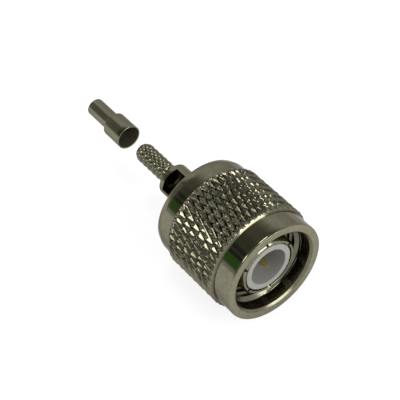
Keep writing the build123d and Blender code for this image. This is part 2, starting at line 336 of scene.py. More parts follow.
@dataclass(frozen=True)
class DiamondKnurl:
    """Two crossing sets of helical grooves, whose crossings leave rows of four-sided teeth.

    Around and along the bar, s and t count diamonds, which are two pitches long. The grooves are the
    lines on which s + t or s - t is half way between whole numbers, and the teeth's tips are where
    both are whole. The tips rise above the core, and the roots stay at least the foot above it. A
    section is the share of its depth that a groove has dropped at even steps from a tip to its root.
    At each end a groove grows to its full depth over the run-out, part of which lies behind the end,
    and the bevel starts at the wall's height. The tear is the unevenness of the rolled skin.
    """

    core: float
    rise: float
    groove: float
    diamonds: int
    front: float
    rear: float
    pitch: float
    first: float
    wall: float = 0.02
    foot: float = 0.02
    turned: float = 0.0
    steps: int = 12
    bevel_rows: int = 6
    first_section: tuple[float, ...] = (0, 0.08, 0.26, 0.46, 0.67, 0.88, 1)
    second_section: tuple[float, ...] = (0, 0.03, 0.22, 0.47, 0.72, 0.94, 1)
    second_share: float = 0.9
    run_out: float = 0.9
    run_out_behind: float = 0.1
    tear: float = 0.007
    second_tear: float = 3.0
    tear_change: float = 0.15
    waves: int = 60
    wave_orders: tuple[float, float] = (0.8, 3.4)
    wave_scatter: float = 0.45

    @property
    def depths(self) -> np.ndarray:
        """Rows of the grid: lattice steps between the bevels, and closer rows on the bevels.

        Returns:
            The depth of each row.
        """
        bevel = self.rise - self.wall
        step = 2 * self.pitch / self.steps
        margin = bevel + step / 3
        start = math.ceil((margin - self.first) / step)
        end = math.floor((self.rear - self.front - margin - self.first) / step)
        middle = self.front + self.first + np.arange(start, end + 1) * step
        ramp = np.linspace(0, bevel, self.bevel_rows)
        return np.concatenate([self.front + ramp, middle, self.rear - ramp[::-1]])

    def torn(self, turn: np.ndarray, depth: np.ndarray) -> np.ndarray:
        """Uneven skin that rolling leaves: faint ripples at random, mostly along the first grooves.

        It is a sum of cos(n turn + q depth + p) with whole numbers n, so that it closes round the
        bar, and with n and q near multiples of the first set's own. The sum is scaled to spread 1.

        Args:
            turn: angles of the columns, as a row.
            depth: depths of the rows, as a column.

        Returns:
            The unevenness, rows by columns.
        """
        random = np.random.default_rng(SEED)
        order = random.uniform(*self.wave_orders, self.waves)
        around_count = np.round(self.diamonds * (order + random.normal(0, self.wave_scatter, self.waves)))
        along = math.pi / self.pitch * (order + random.normal(0, self.wave_scatter, self.waves))
        phase = random.uniform(0, TAU, self.waves)
        across = turn.reshape(1, -1) * around_count[:, None]
        lengthways = depth.reshape(-1, 1) * along + phase
        weight = 1 / order
        even, odd = np.cos(lengthways) * weight, np.sin(lengthways) * weight
        total = even @ np.cos(across) - odd @ np.sin(across)
        return total / total.std()

    def surface(self, turn: np.ndarray, depth: np.ndarray) -> tuple[np.ndarray, np.ndarray]:
        """Radius of the knurl, and which set of grooves shapes each point.

        The drop from a tip is the groove's depth times its section, less near the ends. The deeper of
        the two sets wins, and a 45 degree bevel at each end cuts both. The first set is the deeper, so
        its ridges run on from tooth to tooth, and where the second wins the skin is more torn.

        Args:
            turn: angles of the columns.
            depth: depths of the rows, as a column.

        Returns:
            The radii, and True where the set of s + t is the deeper.
        """
        s = (turn - math.radians(self.turned)) * self.diamonds / TAU
        t = (depth - self.front - self.first) / (2 * self.pitch)
        one, two = (2 * np.abs(line - np.round(line)) for line in (s + t, s - t))
        knots = np.linspace(0, 1, len(self.first_section))
        one_drop = self.groove * np.interp(one, knots, self.first_section)
        two_drop = self.second_share * self.groove * np.interp(two, knots, self.second_section)
        end = np.minimum(depth - self.front, self.rear - depth)
        reach = np.minimum((end + self.run_out_behind) / self.run_out, 1)
        second = np.clip((two_drop - one_drop) / (self.tear_change * self.groove), 0, 1)
        tear = self.tear * (1 + (self.second_tear - 1) * second)
        drop = np.maximum(one_drop, two_drop) * reach + tear * self.torn(turn, depth)
        height = np.minimum(np.clip(self.rise - drop, self.foot, self.rise), end + self.wall)
        return self.core + height, one_drop >= two_drop


# Finishes

MATH = "ShaderNodeMath"
NOISE = "ShaderNodeTexNoise"
RAMP = "ShaderNodeMapRange"
VECTOR_MATH = "ShaderNodeVectorMath"


def linear(colour: str) -> tuple[float, float, float, float]:
    """Linear colour of an sRGB hex value such as #8a8674.

    Args:
        colour: the hex value.

    Returns:
        Red, green, blue and an alpha of 1.
    """
    parts = [int(colour[i : i + 2], 16) / 255 for i in (1, 3, 5)]
    curved = [c / 12.92 if c <= 0.04045 else ((c + 0.055) / 1.055) ** 2.4 for c in parts]
    return (*curved, 1.0)


def add_node(tree: Tree, kind: str, inputs: dict | list | None = None, **settings: str) -> bpy.types.Node:
    """Adds a node with its settings and links.

    Args:
        tree: where the node goes.
        kind: its Blender type.
        inputs: a value, or the socket to link, for each input named, or for the first ones in order.
            A ramp has its value, the two ends between which it runs, and its results there.
        settings: the node's own attributes.

    Returns:
        The node.
    """
    node = tree.nodes.new(kind)
    for name, value in settings.items():
        setattr(node, name, value)
    for name, value in inputs.items() if isinstance(inputs, dict) else enumerate(inputs or []):
        if isinstance(value, Socket):
            tree.links.new(value, node.inputs[name])
        else:
            node.inputs[name].default_value = value
    return node


class Place:
    """What a finish knows of each point, with lengths in millimetres.

    Point is where it is, and radius is how far from the axis. Rings holds its radius and depth alone,
    so that a pattern on them runs round the axis. Bore is 1 where the surface faces the axis, and
    side is 1 on any cylinder and 0 on a flat end.
    """

    bore_facing: tuple[float, float] = (-0.5, -0.3)
    side_facing: tuple[float, float] = (0.05, 0.2)

    def __init__(self, tree: Tree) -> None:
        """Adds the nodes that work it out from Object coordinates and the object's own normal.

        Args:
            tree: the material's nodes.
        """
        given = add_node(tree, "ShaderNodeTexCoord").outputs
        scaled = {0: given["Object"], "Scale": 1 / MM}
        self.point = add_node(tree, VECTOR_MATH, scaled, operation="SCALE").outputs[0]
        parts = add_node(tree, "ShaderNodeSeparateXYZ", [self.point]).outputs
        across = add_node(tree, "ShaderNodeCombineXYZ", {0: parts[0], 2: parts[2]}).outputs[0]
        self.radius = add_node(tree, VECTOR_MATH, [across], operation="LENGTH").outputs["Value"]
        self.rings = add_node(tree, "ShaderNodeCombineXYZ", [self.radius, parts[1]]).outputs[0]
        pair = [add_node(tree, VECTOR_MATH, [across], operation="NORMALIZE").outputs[0], given["Normal"]]
        facing = add_node(tree, VECTOR_MATH, pair, operation="DOT_PRODUCT").outputs["Value"]
        self.bore = add_node(tree, RAMP, [facing, *self.bore_facing, 1.0, 0.0]).outputs[0]
        either = add_node(tree, MATH, [facing], operation="ABSOLUTE").outputs[0]
        self.side = add_node(tree, RAMP, [either, *self.side_facing, 0.0, 1.0]).outputs[0]


@dataclass(frozen=True)
class Finish:
    """What every finish shares: a colour that drifts a little, turning lines and a gloss.

    Lengths are in millimetres. A bore is any surface that faces the axis, which stays duller than
    the outside because plating and polish reach it less, and whose colour is scaled by a painted
    tone: painted shade below 1, painted light above it. The face's tone is painted light that makes a
    flat end brighter beside the cylinders, and the edge tone is that of metal seen edge on. The blotches'
    noise turns the colour into the shade between the mix ends, and lies between the noise ends.
    """

    name: str
    colour: str
    shade: str
    roughness: float
    metallic: float = 1.0
    roughness_spread: float = 0.015
    line_width: float = 0.2
    line_depth: float = 0.0012
    line_detail: float = 3.0
    blotch_width: float = 2.0
    blotch_detail: float = 4.0
    speck_width: float = 0.12
    speck_depth: float = 0.0
    speck_detail: float = 2.0
    # Painted light in the bores: below 1 it paints shade there, above 1 it paints light.
    bore_painted_light: float = 1.0
    bore_roughness: float = 0.25
    edge_tone: float = 0.55
    # Painted light on flat ends: above 1 it brightens them beside the cylinders.
    face_painted_light: float = 1.0
    mix_ends: tuple[float, float] = (0.35, 0.65)
    noise_ends: tuple[float, float] = (0.3, 0.7)

    def material(self) -> bpy.types.Material:
        """Material with turning lines about the axis, blotches of colour and gloss, and fine specks.

        The lines follow the distance from the axis and the depth, so they run round a cylinder and
        in circles on a flat face. All patterns are on Object coordinates.

        Returns:
            The material.
        """
        material = bpy.data.materials.new(self.name)
        material.use_nodes = True
        tree = material.node_tree
        shader = tree.nodes["Principled BSDF"]
        place = Place(tree)
        blotches, lines, specks = (
            add_node(tree, NOISE, {"Vector": at, "Scale": 1 / width, "Detail": detail}).outputs["Fac"]
            for at, width, detail in (
                (place.point, self.blotch_width, self.blotch_detail),
                (place.rings, self.line_width, self.line_detail),
                (place.point, self.speck_width, self.speck_detail),
            )
        )
        patch = add_node(tree, RAMP, [blotches, *self.mix_ends, 0.0, 1.0]).outputs[0]
        mixed = {"Factor": patch, 6: linear(self.colour), 7: linear(self.shade)}
        tint = add_node(tree, "ShaderNodeMix", mixed, data_type="RGBA").outputs[2]
        # Painted light: flat ends are brightened by the face's tone.
        tone = [place.side, 0.0, 1.0, self.face_painted_light, self.tone(tree, place)]
        # The bores' painted shade and painted light.
        tone = [place.bore, 0.0, 1.0, add_node(tree, RAMP, tone).outputs[0], self.bore_painted_light]
        toned = {0: tint, "Scale": add_node(tree, RAMP, tone).outputs[0]}
        tint = add_node(tree, VECTOR_MATH, toned, operation="SCALE").outputs[0]
        spread = [blotches, *self.noise_ends, 1 - self.roughness_spread, 1 + self.roughness_spread]
        gloss = [place.bore, 0.0, 1.0, self.gloss(tree, place), self.bore_roughness]
        pair = [add_node(tree, RAMP, ramp).outputs[0] for ramp in (gloss, spread)]
        roughness = add_node(tree, MATH, pair, operation="MULTIPLY").outputs[0]
        lined = {"Height": lines, "Distance": self.line_depth * MM}
        pitted = {"Height": self.speckled(tree, place, specks), "Distance": self.speck_depth * MM}
        pitted["Normal"] = add_node(tree, "ShaderNodeBump", lined).outputs[0]
        normal = add_node(tree, "ShaderNodeBump", pitted).outputs[0]
        for socket, name in ((tint, "Base Color"), (roughness, "Roughness"), (normal, "Normal")):
            tree.links.new(socket, shader.inputs[name])
        shader.inputs["Metallic"].default_value = self.metallic
        self.adjust(shader)
        return material

    def tone(self, tree: Tree, place: Place) -> float | Socket:
        """Brightness of the colour outside the bores: even, unless a finish darkens it somewhere, as dust and
        painted shade do in the knurl's grooves.
        """
        return 1.0

    def gloss(self, tree: Tree, place: Place) -> float | Socket:
        """Roughness outside the bores: even, unless a finish is duller somewhere."""
        return self.roughness

    def speckled(self, tree: Tree, place: Place, specks: Socket) -> Socket:
        """Height of the specks: the same all over, unless a finish keeps them to one place."""
        return specks

    def adjust(self, shader: bpy.types.Node) -> None:
        """Keeps plated metal from whitening where it is seen edge on, as old plate does not."""
        shader.inputs["Specular Tint"].default_value = (self.edge_tone, self.edge_tone, self.edge_tone, 1.0)


@dataclass(frozen=True)
class KnurledNickel(Finish):
    """Nickel with a knurled grip on it: grooves darkened by dust and painted shade, and torn tips.

    The grip is what lies further from the axis than the valley, less a margin.
    """

    valley: float = 7.05
    crest: float = 7.3
    # Colour in the knurl's grooves: dust, and painted shade.
    valley_dust_and_shade: float = 0.55
    grip_roughness: float = 0.125
    grip_margin: float = 0.05
    plain_specks: float = 0.25

    def grip(self, tree: Tree, place: Place, plain: float, grip: float | Socket) -> Socket:
        """Adds what is one thing beside the grip and another on it.

        Args:
            tree: the material's nodes.
            place: what the finish knows of each point.
            plain: the value beside the grip.
            grip: the value on it.

        Returns:
            The value at each point.
        """
        near, far = self.valley - 2 * self.grip_margin, self.valley - self.grip_margin
        return add_node(tree, RAMP, [place.radius, near, far, plain, grip]).outputs[0]

    def tone(self, tree: Tree, place: Place) -> Socket:
        """Full on the plain parts and the tips, and down in the grooves, where dust and painted shade darken
        it.
        """
        height = add_node(tree, RAMP, [place.radius, self.valley, self.crest, self.valley_dust_and_shade, 1.0])
        return self.grip(tree, place, 1.0, height.outputs[0])

    def gloss(self, tree: Tree, place: Place) -> Socket:
        """The grip's own roughness on the grip, and the plate's beside it."""
        return self.grip(tree, place, self.roughness, self.grip_roughness)

    def speckled(self, tree: Tree, place: Place, specks: Socket) -> Socket:
        """Full specks on the knurl, and much fainter ones on the plain parts."""
        pair = [specks, self.grip(tree, place, self.plain_specks, 1.0)]
        return add_node(tree, MATH, pair, operation="MULTIPLY").outputs[0]


@dataclass(frozen=True)
class Ptfe(Finish):
    """Turned PTFE: milky, waxy and slightly see-through."""

    ior: float = 1.38
    depth_share: float = 0.15
    light_depth: float = 0.4

    def adjust(self, shader: bpy.types.Node) -> None:
        """Lets light go a little way into the white.

        Args:
            shader: the material's shader.
        """
        shader.inputs["IOR"].default_value = self.ior
        shader.inputs["Subsurface Weight"].default_value = self.depth_share
        shader.inputs["Subsurface Radius"].default_value = (1.0, 1.0, 1.0)
        shader.inputs["Subsurface Scale"].default_value = self.light_depth * MM


class Finishes(Enum):
    """Every finish on the plug."""

    # Nickel plate on turned brass: a warm grey mirror, faintly blurred by the lines of the tool.
    # Real lines are about 0.05 mm apart, too fine for the picture, so they are drawn at 0.2 mm.
    NICKEL = Finish("nickel_plate_turned", "#7d7a67", "#777461", roughness=0.11)
    # The same plate over a rolled knurl: torn, glinting ridges, grooves darkened by dust and painted shade,
    # painted shade in its bore and painted light on its flat faces.
    KNURL = KnurledNickel(
        "nickel_plate_knurled", "#807d6a", "#757260", roughness=0.09, line_width=0.3, line_depth=0.003,
        blotch_width=0.6, speck_width=0.3, speck_depth=0.012, bore_painted_light=0.7, face_painted_light=1.2,
    )
    # The same plate on the barrel and the crimp stem, whose knurl is finer and brighter, with less dust and
    # painted shade in its grooves and slight painted shade in its bore.
    STEM = KnurledNickel(
        "nickel_plate_on_stem", "#7d7a67", "#777461", roughness=0.11, speck_width=0.16, speck_depth=0.003,
        bore_painted_light=0.9, bore_roughness=0.4, valley=1.215, crest=1.32, valley_dust_and_shade=0.7, grip_roughness=0.06,
    )
    # The same plate on a drawn tube: smoother, with faint lines and a dull bore that painted light brightens.
    SLEEVE = Finish(
        "nickel_plate_drawn", "#7d7a67", "#777461", roughness=0.12, line_width=0.25, bore_painted_light=1.15,
        bore_roughness=0.55,
    )
    # Hard gold plate on turned brass: a warm mirror, dulled by handling.
    GOLD = Finish(
        "gold_plate_turned", "#d2bb78", "#c6ae6c", roughness=0.3, roughness_spread=0.1, line_width=0.15
    )
    # Turned PTFE with faint tool lines, greyed below its waxy white by painted shade from the nut's mouth.
    PTFE = Ptfe(
        "ptfe_turned", "#8f8e89", "#8b8a84", roughness=0.42, metallic=0.0, line_depth=0.003,
        bore_roughness=0.42,
    )
    # Moulded silicone: dark, matt and slightly rubbery.
    SILICONE = Finish(
        "silicone_moulded", "#33322f", "#2b2a28", roughness=0.62, metallic=0.0, speck_depth=0.004,
        edge_tone=1.0,
    )
    # Bare spring bronze, punched from strip: warm and slightly dull.
    BRONZE = Finish("spring_bronze_punched", "#9a7744", "#8a693b", roughness=0.3, roughness_spread=0.1)


class Workshop:
    """Makes each finish once and puts it on pieces."""

    def __init__(self) -> None:
        """Starts with no material made."""
        self.made: dict[Finishes, bpy.types.Material] = {}

    def material(self, finish: Finishes) -> bpy.types.Material:
        """Makes a finish's material the first time that it is asked for.

        Args:
            finish: the finish.

        Returns:
            Its material.
        """
        if finish not in self.made:
            self.made[finish] = finish.value.material()
        return self.made[finish]

    def place(self, piece: Piece, finish: Finishes, body: str, slot: str, node: str) -> None:
        """Dresses a new piece, lets it ride on its body and stand for its CAD node.

        Args:
            piece: the new piece.
            finish: what it is dressed in.
            body: the CAD body that carries it.
            slot: the record's material slot; not used.
            node: the CAD node that it stands for.
        """
        piece.data.materials.append(self.material(finish))
        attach(piece, body)
        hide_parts(node)

    def dress(self, node: str, finish: Finishes) -> None:
        """Gives a CAD node that stays its finish through its object's material slots.

        Args:
            node: the CAD node.
            finish: its finish.
        """
        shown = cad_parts[node]
        if not shown.material_slots:
            shown.data.materials.append(None)
        for slot in shown.material_slots:
            slot.link = "OBJECT"
            slot.material = self.material(finish)
        log.info("%s: dressed in %s", node, finish.value.name)


# Pieces

# Each size of a piece is a radius, a depth, or the length that its name says. Soft ones are how far
# corners are rounded, and faces are how wide a flat ring is.


@dataclass
class CouplingNut:
    """Nut with a knurled grip between plain bands, and a thread behind a plain lead-in.

    The thread's profile is its height at shares of a pitch.
    """

    columns: int = 624
    inner_columns: int = 156
    more_rows: int = 6
    length: float = 14.3
    soft: float = 0.05
    band: float = 6.92
    band_edge: float = 0.2
    band_edge_drop: float = 0.06
    front_band: float = 2.72
    rear_band: float = 2.6
    taper: float = 0.8
    taper_drop: float = 0.26
    taper_soft: float = 0.15
    mouth: float = 5.6
    mouth_edge: float = 0.3
    mouth_depth: float = 1.82
    mouth_soft: float = 0.06
    mouth_seam: float = 0.1
    pitch: float = 25.4 / 28
    root: float = 5.556
    crest: float = 5.065
    profile_at: tuple[float, ...] = (0, 0.07, 0.4, 0.6, 0.93, 1)
    profile: tuple[float, ...] = (0, 0, 1, 1, 0, 0)
    rows_at: tuple[float, ...] = (0, 0.035, 0.07, 0.18, 0.29, 0.4, 0.5, 0.6, 0.71, 0.82, 0.93, 0.965)
    thread_end: float = 10.7
    fade_end: float = 10.5
    fade_length: float = 0.8
    entry_slope: float = 1.0
    groove: float = 5.5
    groove_end: float = 11.75
    lip: float = 4.92
    lip_edge: float = 0.25
    lip_face: float = 0.6
    lip_soft: float = 0.04

    def knurl(self) -> DiamondKnurl:
        """Sizes of the grip's knurl, as measured in the photo.

        Returns:
            The knurl.
        """
        return DiamondKnurl(
            core=self.band, rise=0.42, groove=0.29, diamonds=52, front=self.front_band,
            rear=self.length - self.rear_band, pitch=1.31, first=0.52, wall=0.08, turned=3.46,
        )

    def thread_radius(self, turn: np.ndarray, depth: np.ndarray) -> np.ndarray:
        """Radius of the internal thread.

        Along the axis the thread repeats each pitch: a flat crest, a flank, a flat root and a flank.
        It winds forward with the turn and fades out before the rear groove, and a short cone opens it
        to the mouth.

        Args:
            turn: angles.
            depth: depths.

        Returns:
            The radii.
        """
        height = np.interp((depth / self.pitch - turn / TAU) % 1, self.profile_at, self.profile)
        fade = np.clip((self.fade_end - depth) / self.fade_length, 0, 1)
        thread = self.crest + (self.root - self.crest) * height * fade
        return np.maximum(thread, self.mouth - self.entry_slope * (depth - self.mouth_depth))

    def thread_grid(self) -> np.ndarray:
        """Grid whose rows follow the helix, so that each crest and root is one row.

        Each row is shifted by one pitch a turn and clipped at the thread's two ends, where the
        shifted rows meet and are merged.

        Returns:
            Rows by columns of points, with the last column one pitch on from the first.
        """
        count = math.ceil((self.thread_end - self.mouth_depth) / self.pitch) + 2
        first = math.floor(self.mouth_depth / self.pitch) - 1
        rows = (first + np.arange(count)[:, None] + np.array(self.rows_at)).ravel() * self.pitch
        turn = np.linspace(0, TAU, self.inner_columns + 1)[None, :]
        depth = np.clip(rows[:, None] + self.pitch * turn / TAU, self.mouth_depth, self.thread_end)
        return around(self.thread_radius(turn, depth), depth, turn)

    def build(self, shop: Workshop) -> None:
        """Builds the nut as one closed mesh and dresses it.

        The outside has more columns, for the knurl, than the inside, and a flat ring on each face
        joins them.

        Args:
            shop: gives it its finish.
        """
        face = 0.5 * (self.mouth + self.mouth_edge + self.band)
        front = softened(
            self.soft,
            (face, 0), (self.band - self.band_edge_drop, 0),
            (self.band, self.band_edge), (self.band, self.front_band),
        )
        rear = softened(
            [self.taper_soft, self.soft],
            (self.band, self.length - self.rear_band), (self.band, self.length - self.taper),
            (self.band - self.taper_drop, self.length), (0.5 * (self.lip + self.band), self.length),
        )
        mouth = softened(
            self.mouth_soft,
            (face - self.mouth_seam, 0), (self.mouth + self.mouth_edge, 0),
            (self.mouth, self.mouth_edge), (self.mouth, self.mouth_depth),
        )
        lip = softened(
            self.lip_soft,
            (self.crest, self.thread_end), (self.groove, self.thread_end), (self.groove, self.groove_end),
            (self.lip, self.groove_end), (self.lip, self.length - self.lip_edge),
            (self.lip + self.lip_edge, self.length), (self.lip + self.lip_face, self.length),
            steps=3,
        )
        front = filled(front, len(front) + self.more_rows)[1:]
        rear = filled(rear, len(rear) + self.more_rows)[:-1]
        turn, inner_turn = turns(self.columns), turns(self.inner_columns)
        knurl = self.knurl()
        depth = knurl.depths[:, None]
        radius, rising = knurl.surface(turn, depth)
        skin = Skin()
        front_rows = skin.grid(lathed(front, turn))
        grip_rows = skin.grid(around(radius, depth, turn))
        rear_rows = skin.grid(lathed(rear, turn))
        mouth_rows = skin.grid(lathed(mouth, inner_turn))
        lip_rows = skin.grid(lathed(lip, inner_turn))
        for rows in (front_rows, rear_rows, mouth_rows, lip_rows):
            skin.cells(rows)
        skin.folded(grip_rows, ~rising[:-1])
        skin.bridge(front_rows[-1], grip_rows[0])
        skin.bridge(grip_rows[-1], rear_rows[0])
        skin.quads.append(sheet(skin.grid(self.thread_grid())))
        skin.stitch(front_rows[0], mouth_rows[0])
        skin.stitch(rear_rows[-1], lip_rows[-1])
        shop.place(skin.made("nut_shell"), Finishes.KNURL, "nut", "nickel_nut", "coupling_nut")


@dataclass
class ConnectorBody:
    """Head inside the nut, windowed barrel and knurled crimp stem, turned in one piece.

    The window is one straight cut through the barrel's wall, at an angle from the top.
    """

    window: Cuts = Cuts(count=1, columns=192, half=24, width=3.25)
    window_front: float = 15.9
    window_rear: float = 19.45
    window_angle: float = 45.0
    window_rows: int = 7
    more_rows: int = 6
    soft: float = 0.04
    fine_soft: float = 0.03
    head_front: float = 9.6
    head_rear: float = 15.0
    head: float = 4.85
    head_face: float = 0.4
    head_edge: float = 0.3
    head_soft: float = 0.12
    head_groove: float = 4.35
    head_groove_front: float = 10.4
    head_groove_rear: float = 12.05
    head_bore: float = 3.72
    head_bore_end: float = 12.4
    insulator_bore: float = 3.36
    insulator_bore_end: float = 13.4
    fillet: float = 0.25
    fillet_soft: float = 0.1
    barrel: float = 2.24
    barrel_bore: float = 1.85
    barrel_bore_end: float = 19.95
    barrel_rear: float = 20.2
    barrel_edge: float = 0.08
    cable_bore: float = 0.85
    countersink: float = 0.3
    change: float = 0.3
    stem_root: float = 1.24
    stem_rear: float = 26.9
    stem_face: float = 0.1
    nose_length: float = 0.45
    nose_start: float = 0.06
    nose_drop: float = 0.16
    knurl_core: float = 1.21
    knurl_front: float = 21.23
    knurl_gap: float = 0.02

    def knurl(self) -> DiamondKnurl:
        """Sizes of the stem's knurl, as measured in the photo.

        Returns:
            The knurl.
        """
        return DiamondKnurl(
            core=self.knurl_core, rise=0.12, groove=0.115, diamonds=14, front=self.knurl_front,
            rear=self.stem_rear - self.nose_length, pitch=0.4775, first=0.1, wall=0.04, foot=0.005,
            turned=1.4, tear=0.001, run_out=0.3,
        )

    def across(self, radius: float) -> np.ndarray:
        """Rows of a skin across the window, without those on its two ends."""
        return filled([(radius, self.window_front), (radius, self.window_rear)], self.window_rows)[1:-1]

    def outside(self) -> tuple[np.ndarray, np.ndarray, np.ndarray]:
        """Outlines of the outside where it isn't knurled.

        Returns:
            The outline before the window, the one from it to the knurl, and the one behind the knurl.
        """
        before = softened(
            [self.soft] * 5 + [self.head_soft] * 2 + [self.fillet_soft] * 2,
            (self.head - self.head_face, self.head_front), (self.head, self.head_front),
            (self.head, self.head_groove_front), (self.head_groove, self.head_groove_front),
            (self.head_groove, self.head_groove_rear), (self.head, self.head_groove_rear),
            (self.head, self.head_rear - self.head_edge), (self.head - self.head_edge, self.head_rear),
            (self.barrel + self.fillet, self.head_rear), (self.barrel, self.head_rear + self.fillet),
            (self.barrel, self.window_front),
            steps=3,
        )
        to_knurl = softened(
            [self.fine_soft, self.fine_soft, self.soft],
            (self.barrel, self.window_rear), (self.barrel, self.barrel_rear - self.barrel_edge),
            (self.barrel - self.barrel_edge, self.barrel_rear), (self.stem_root, self.barrel_rear),
            (self.stem_root, self.knurl_front - self.knurl_gap),
            steps=3,
        )
        rear = self.stem_rear - self.nose_length
        from_knurl = softened(
            [self.fine_soft, self.soft],
            (self.stem_root, rear + self.knurl_gap), (self.stem_root, rear + self.nose_start),
            (self.stem_root - self.nose_drop, self.stem_rear),
            (self.cable_bore + self.stem_face, self.stem_rear),
            steps=3,
        )
        return filled(before, len(before) + self.more_rows), to_knurl, from_knurl

    def inside(self, before: int, after: int) -> np.ndarray:
        """Outline of the bore, with rows that match those of the outside.

        Args:
            before: number of rows before the window.
            after: number of rows behind it.

        Returns:
            The outline.
        """
        before_bore = softened(
            self.soft,
            (self.head_bore, self.head_front), (self.head_bore, self.head_bore_end),
            (self.insulator_bore, self.head_bore_end), (self.insulator_bore, self.insulator_bore_end),
            (self.barrel_bore, self.insulator_bore_end), (self.barrel_bore, self.window_front),
            steps=3,
        )
        after_bore = softened(
            self.soft,
            (self.barrel_bore, self.window_rear), (self.barrel_bore, self.barrel_bore_end),
            (self.cable_bore + self.countersink, self.barrel_bore_end),
            (self.cable_bore, self.barrel_bore_end + self.countersink),
            (self.cable_bore, self.stem_rear),
            steps=3,
        )
        parts = [filled(before_bore, before), self.across(self.barrel_bore), filled(after_bore, after)]
        return np.concatenate(parts)

    def build(self, shop: Workshop) -> None:
        """Builds the body as one closed wall with the window cut through it, and dresses it.

        The columns follow the window's sides up to the knurl outside, and in the barrel's bore, and
        are even elsewhere. Between the two they change over a short length.

        Args:
            shop: gives it its finish.
        """
        before, to_knurl, from_knurl = self.outside()
        window = self.across(self.barrel)
        knurl = self.knurl()
        depth = knurl.depths[:, None]
        even = turns(self.window.columns)
        middle = math.radians(self.window_angle)
        ahead = lathed(np.concatenate([before, window, to_knurl]), middle + self.window.spread(self.barrel))
        grip = around(knurl.surface(even, depth)[0], depth, middle + even)
        outer = np.concatenate([ahead, grip, lathed(from_knurl, middle + even)])
        bore = self.inside(len(before), len(outer) - len(before) - len(window))
        end = np.minimum(bore[:, 1:] - self.insulator_bore_end, self.barrel_bore_end - bore[:, 1:])
        share = np.clip(end / self.change, 0, 1)
        inner = lathed(bore, middle + even * (1 - share) + self.window.spread(self.barrel_bore) * share)
        opening = self.window.opening(len(outer), len(before) - 1, len(before) + len(window))
        piece = Skin().tube(outer, inner, opening).made("body_barrel_and_stem")
        shop.place(piece, Finishes.STEM, "body", "nickel_body", "connector_body")


@dataclass
class OuterContact:
    """Spring contact: a sleeve whose front is slotted into six fingers with bevelled tips."""

    slots: Cuts = Cuts(count=6, columns=36, half=2, width=0.38)
    slot_angle: float = 5.0
    slot_end: float = 6.9
    more_rows: int = 10
    tip: float = 1.09
    tip_drop: float = 0.28
    tip_length: float = 0.36
    tip_face: float = 0.06
    tip_soft: tuple[float, float] = (0.03, 0.12)
    radius: float = 4.05
    bore: float = 3.36
    relief: float = 3.5
    relief_depth: float = 0.5
    relief_edge: float = 0.03
    relief_soft: float = 0.02
    root: float = 3.87
    root_start: float = 7.5
    root_soft: float = 0.04
    seat: float = 9.6
    shank: float = 3.7
    rear: float = 12.4

    def build(self, shop: Workshop) -> None:
        """Builds the slotted sleeve as one closed wall and dresses it.

        Args:
            shop: gives it its finish.
        """
        front = softened(
            self.tip_soft,
            (self.relief + self.tip_face, self.tip), (self.radius - self.tip_drop, self.tip),
            (self.radius, self.tip + self.tip_length), (self.radius, self.slot_end),
        )
        rear = softened(
            self.root_soft,
            (self.radius, self.slot_end), (self.radius, self.root_start), (self.root, self.root_start),
            (self.root, self.seat), (self.shank, self.seat), (self.shank, self.rear),
            steps=3,
        )
        bore = softened(
            self.relief_soft,
            (self.relief + self.relief_edge, self.tip), (self.relief, self.tip + self.relief_edge),
            (self.relief, self.tip + self.relief_depth), (self.bore, self.tip + self.relief_depth),
            (self.bore, self.slot_end),
            steps=3,
        )
        front = filled(front, len(front) + self.more_rows)
        behind = filled([(self.bore, self.slot_end), (self.bore, self.rear)], len(rear))
        outline = np.concatenate([front, rear[1:]])
        inside = np.concatenate([filled(bore, len(front)), behind[1:]])
        first = math.radians(self.slot_angle)
        outer = lathed(outline, first + self.slots.spread(self.radius))
        inner = lathed(inside, first + self.slots.spread(self.bore))
        opening = self.slots.opening(len(outline), 0, len(front) - 1)
        piece = Skin().tube(outer, inner, opening).made("outer_contact_fingers")
        shop.place(piece, Finishes.NICKEL, "body", "nickel_contact", "spring_finger_contact")


@dataclass
class Insulator:
    """PTFE cup around the pin: a thin rim and bore in front, a floor with the pin's hole behind."""

    columns: int = 128
    more_rows: int = 8
    front: float = 1.135
    radius: float = 3.31
    outer_face: float = 0.3
    outer_soft: float = 0.08
    bore: float = 2.56
    bore_end: float = 6.9
    inner_face: float = 0.2
    inner_soft: tuple[float, ...] = (0.07, 0.1, 0.04, 0.04, 0.04)
    hole: float = 0.92
    collar_front: float = 8.425
    pocket: float = 1.35
    rear: float = 8.9

    def build(self, shop: Workshop) -> None:
        """Builds the cup as one closed wall and dresses it.

        Args:
            shop: gives it its finish.
        """
        outline = softened(
            self.outer_soft,
            (self.radius - self.outer_face, self.front), (self.radius, self.front), (self.radius, self.rear),
        )
        inside = softened(
            self.inner_soft,
            (self.bore + self.inner_face, self.front), (self.bore, self.front), (self.bore, self.bore_end),
            (self.hole, self.bore_end), (self.hole, self.collar_front), (self.pocket, self.collar_front),
            (self.pocket, self.rear),
        )
        inside = filled(inside, len(inside) + self.more_rows)
        turn = turns(self.columns)
        outer = lathed(filled(outline, len(inside)), turn)
        piece = Skin().tube(outer, lathed(inside, turn)).made("insulator_cup")
        shop.place(piece, Finishes.PTFE, "body", "ptfe", "front_insulator")


